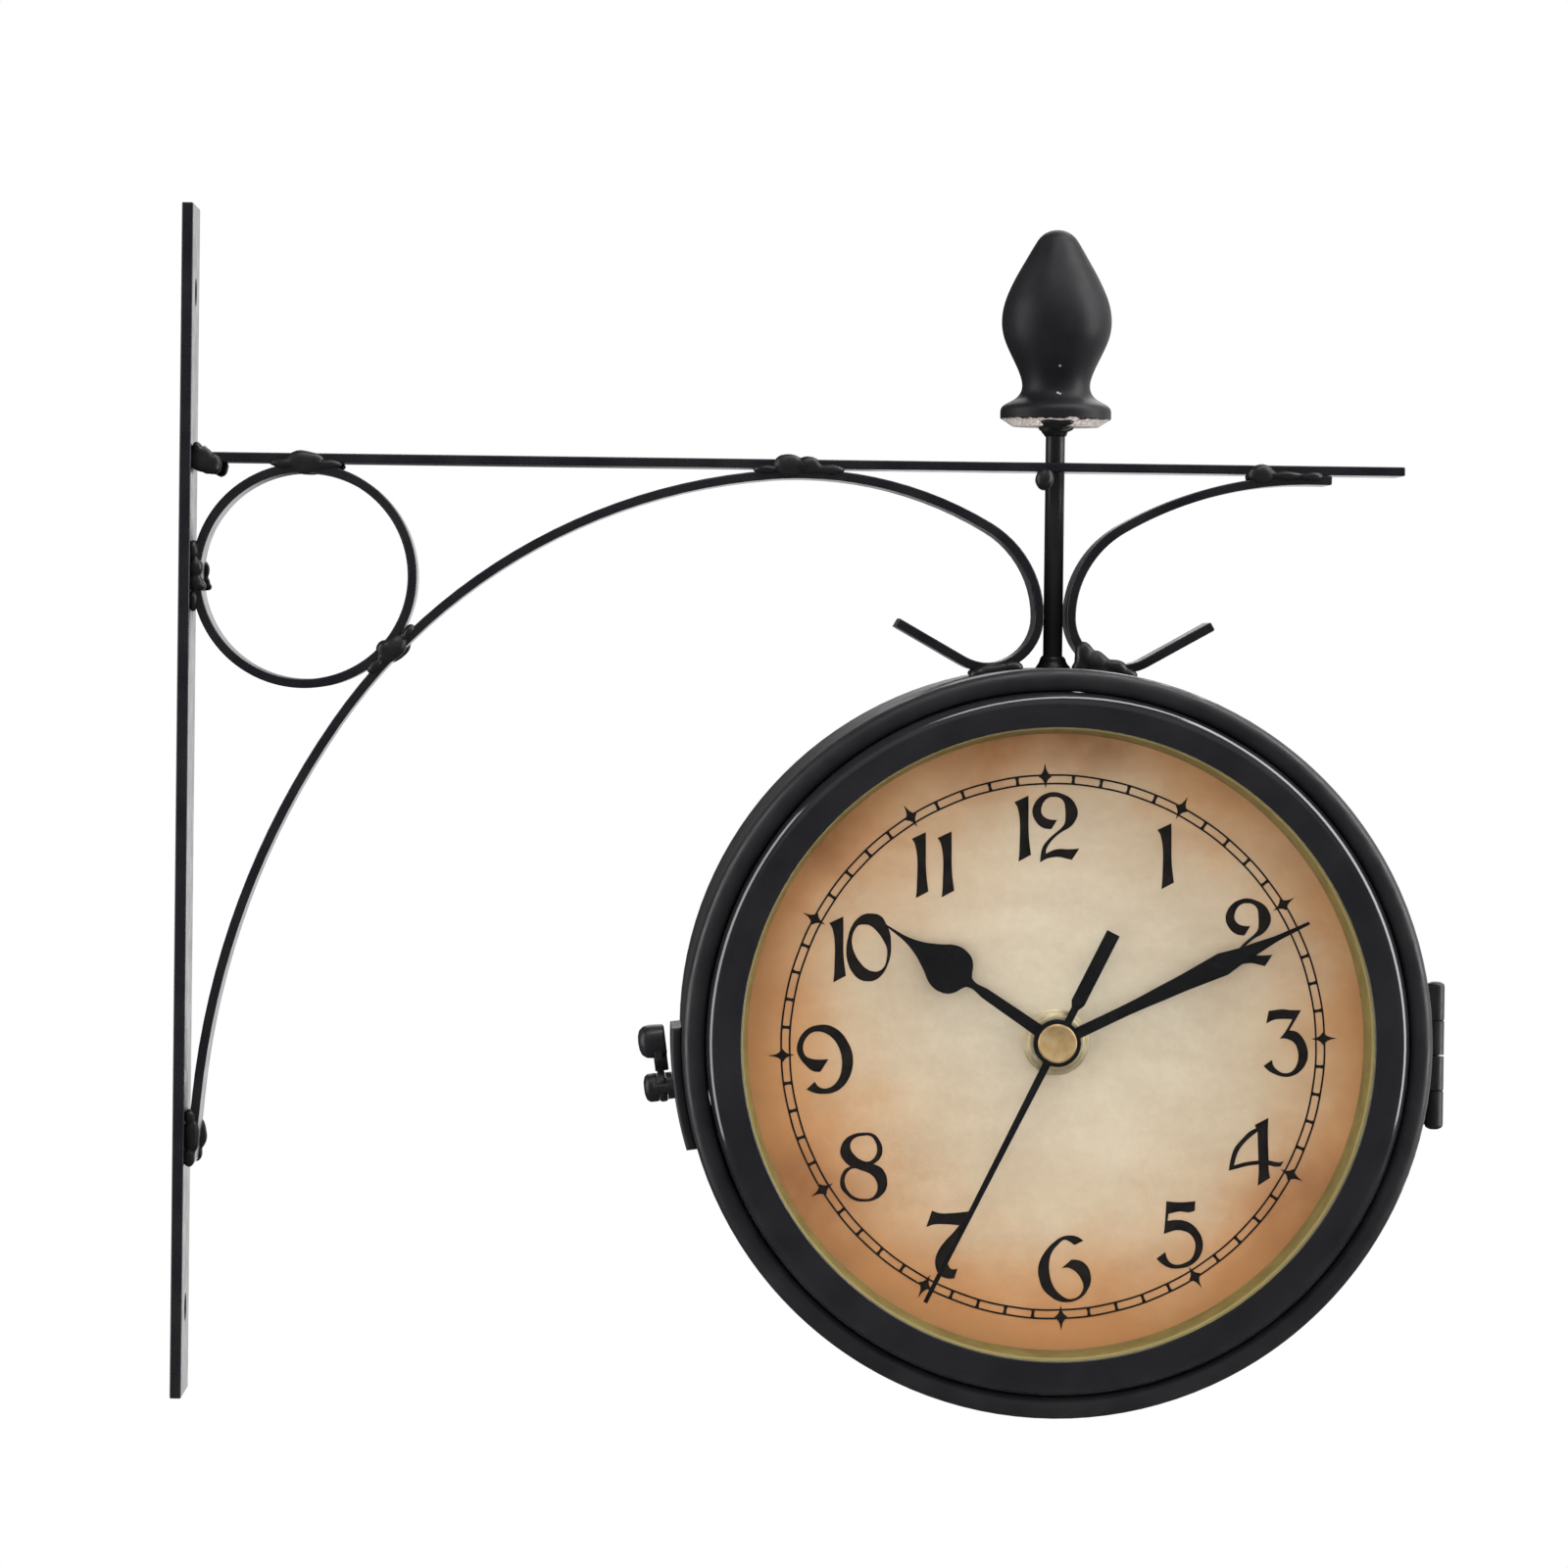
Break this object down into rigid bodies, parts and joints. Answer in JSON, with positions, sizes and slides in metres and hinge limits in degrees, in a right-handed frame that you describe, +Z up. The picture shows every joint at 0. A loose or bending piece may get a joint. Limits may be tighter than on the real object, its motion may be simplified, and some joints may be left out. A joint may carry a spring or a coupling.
{
  "type": "double-sided wall clock",
  "caption": "Round drum clock with a dial on each face, hung under a scrolled wall bracket with an acorn finial; the front half is a hinged, latched door over two battery movements.",
  "frame": {"origin": "on the wall, at the middle of the wall bar's back face, midway between its two screw holes", "axes": "+X out from the wall along the arm, +Y from the front dial to the rear dial, +Z up"},
  "size_m": [0.2345, 0.066, 0.22],
  "materials": {
    "black_paint": "satin black paint",
    "matte_black_cast": "matt black paint",
    "weld_metal": "painted over, lumpy",
    "clear_glass": "clear",
    "gold_ring": "olive gold, satin",
    "aged_paper_dial": "printed aged paper",
    "spring_steel": "plain",
    "black_plastic": "moulded",
    "white_plastic": "moulded",
    "brass": "brushed",
    "battery_can": "plain sleeve",
    "circuit": "board and coil",
    "black_hands": "black, satin"
  },
  "bodies": {
    "bracket": {"wall_bar": "black_paint", "arm_bar": "black_paint", "corner_ring": "black_paint", "brace_scroll": "black_paint", "end_scroll": "black_paint", "post": "black_paint", "finial": "matte_black_cast", "weld_beads": "weld_metal", "rear_case": "black_paint", "rear_bezel": "black_paint", "rear_glass": "clear_glass", "rear_spacer_ring": "gold_ring", "rear_dial": "aged_paper_dial", "rear_retaining_ring": "spring_steel", "rear_movement_case": "black_plastic", "rear_movement_cover": "black_plastic", "rear_fixing_nut": "brass", "rear_battery": "battery_can", "rear_battery_contacts": "spring_steel", "rear_motor_board": "circuit", "hinge_leaf_rear": "black_paint", "hinge_pin": "spring_steel", "latch_plate": "black_paint", "latch_pivot": "black_paint"},
    "front_door": {"front_case": "black_paint", "front_bezel": "black_paint", "front_glass": "clear_glass", "front_spacer_ring": "gold_ring", "front_dial": "aged_paper_dial", "front_retaining_ring": "spring_steel", "front_movement_case": "black_plastic", "front_movement_cover": "black_plastic", "front_fixing_nut": "brass", "front_battery": "battery_can", "front_battery_contacts": "spring_steel", "front_motor_board": "circuit", "hinge_leaf_front": "black_paint", "keeper_plate": "black_paint", "keeper_stud": "black_paint"},
    "latch": {"latch_hook": "black_paint"},
    "front_minutes": {"front_minute_wheel": "white_plastic", "front_minute_hand": "black_hands"},
    "front_seconds": {"front_second_wheel": "white_plastic", "front_second_hand": "black_hands", "front_second_cap": "brass"},
    "front_hours": {"front_hour_wheel": "white_plastic", "front_hour_hand": "black_hands"},
    "front_third": {"front_third_wheel": "white_plastic"},
    "front_setting": {"front_setting_wheel": "white_plastic", "front_setting_knob": "black_plastic"},
    "rear_minutes": {"rear_minute_wheel": "white_plastic", "rear_minute_hand": "black_hands"},
    "rear_seconds": {"rear_second_wheel": "white_plastic", "rear_second_hand": "black_hands", "rear_second_cap": "brass"},
    "rear_hours": {"rear_hour_wheel": "white_plastic", "rear_hour_hand": "black_hands"},
    "rear_third": {"rear_third_wheel": "white_plastic"},
    "rear_setting": {"rear_setting_wheel": "white_plastic", "rear_setting_knob": "black_plastic"}
  },
  "joints": [
    {"name": "door_hinge", "type": "hinge", "parent": "bracket", "child": "front_door", "pos_m": [0.23279, -0.008, -0.04434], "axis": [0, 0, 1], "range_deg": [0, 140]},
    {"name": "latch_turn", "type": "hinge", "parent": "bracket", "child": "latch", "pos_m": [0.09073, -0.00505, -0.0517], "axis": [0.9903, 0, 0.1392], "range_deg": [0, 90]},
    {"name": "front_minutes_turn", "type": "hinge", "parent": "front_door", "child": "front_minutes", "pos_m": [0.16159, -0.0198, -0.04174], "axis": [0, 1, 0], "continuous": true},
    {"name": "front_seconds_turn", "type": "hinge", "parent": "front_door", "child": "front_seconds", "pos_m": [0.16159, -0.0198, -0.04174], "axis": [0, 1, 0], "continuous": true},
    {"name": "front_hours_turn", "type": "hinge", "parent": "front_door", "child": "front_hours", "pos_m": [0.16159, -0.0198, -0.04174], "axis": [0, 1, 0], "continuous": true},
    {"name": "front_third_turn", "type": "hinge", "parent": "front_door", "child": "front_third", "pos_m": [0.15259, -0.0198, -0.04174], "axis": [0, 1, 0], "continuous": true},
    {"name": "front_setting_turn", "type": "hinge", "parent": "front_door", "child": "front_setting", "pos_m": [0.17167, -0.0198, -0.04174], "axis": [0, 1, 0], "continuous": true},
    {"name": "rear_minutes_turn", "type": "hinge", "parent": "bracket", "child": "rear_minutes", "pos_m": [0.16159, 0.0198, -0.04174], "axis": [0, -1, 0], "continuous": true},
    {"name": "rear_seconds_turn", "type": "hinge", "parent": "bracket", "child": "rear_seconds", "pos_m": [0.16159, 0.0198, -0.04174], "axis": [0, -1, 0], "continuous": true},
    {"name": "rear_hours_turn", "type": "hinge", "parent": "bracket", "child": "rear_hours", "pos_m": [0.16159, 0.0198, -0.04174], "axis": [0, -1, 0], "continuous": true},
    {"name": "rear_third_turn", "type": "hinge", "parent": "bracket", "child": "rear_third", "pos_m": [0.17059, 0.0198, -0.04174], "axis": [0, -1, 0], "continuous": true},
    {"name": "rear_setting_turn", "type": "hinge", "parent": "bracket", "child": "rear_setting", "pos_m": [0.15151, 0.0198, -0.04174], "axis": [0, -1, 0], "continuous": true}
  ],
  "couplings": [
    {"joint": "front_seconds_turn", "follows": "front_minutes_turn", "ratio": 60},
    {"joint": "front_hours_turn", "follows": "front_minutes_turn", "ratio": 0.083333},
    {"joint": "front_third_turn", "follows": "front_minutes_turn", "ratio": -8},
    {"joint": "front_setting_turn", "follows": "front_minutes_turn", "ratio": -0.33333},
    {"joint": "rear_seconds_turn", "follows": "rear_minutes_turn", "ratio": 60},
    {"joint": "rear_hours_turn", "follows": "rear_minutes_turn", "ratio": 0.083333},
    {"joint": "rear_third_turn", "follows": "rear_minutes_turn", "ratio": -8},
    {"joint": "rear_setting_turn", "follows": "rear_minutes_turn", "ratio": -0.33333}
  ]
}
